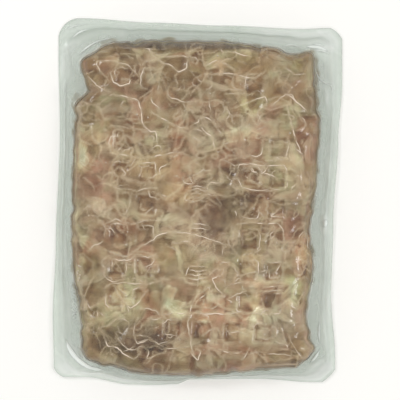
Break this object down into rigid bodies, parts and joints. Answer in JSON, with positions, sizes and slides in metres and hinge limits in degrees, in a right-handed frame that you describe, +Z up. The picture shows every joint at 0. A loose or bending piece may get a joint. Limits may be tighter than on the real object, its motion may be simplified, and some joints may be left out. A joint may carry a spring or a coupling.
{
  "type": "pulled pork pack",
  "caption": "Flat pressed block of cooked pulled pork, vacuum-sealed in clear formed film with a welded flange all round, lying on its flat side.",
  "frame": {"origin": "middle of the underside of the whole pack, on the surface it rests on", "axes": "+Z up, out of the side that shows; +Y along the pack's length; +X across it"},
  "size_m": [0.2066, 0.262, 0.0262],
  "materials": {
    "sealed_pouch": "gloss"
  },
  "bodies": {
    "root": {"sealed_pouch": "sealed_pouch"}
  },
  "joints": []
}
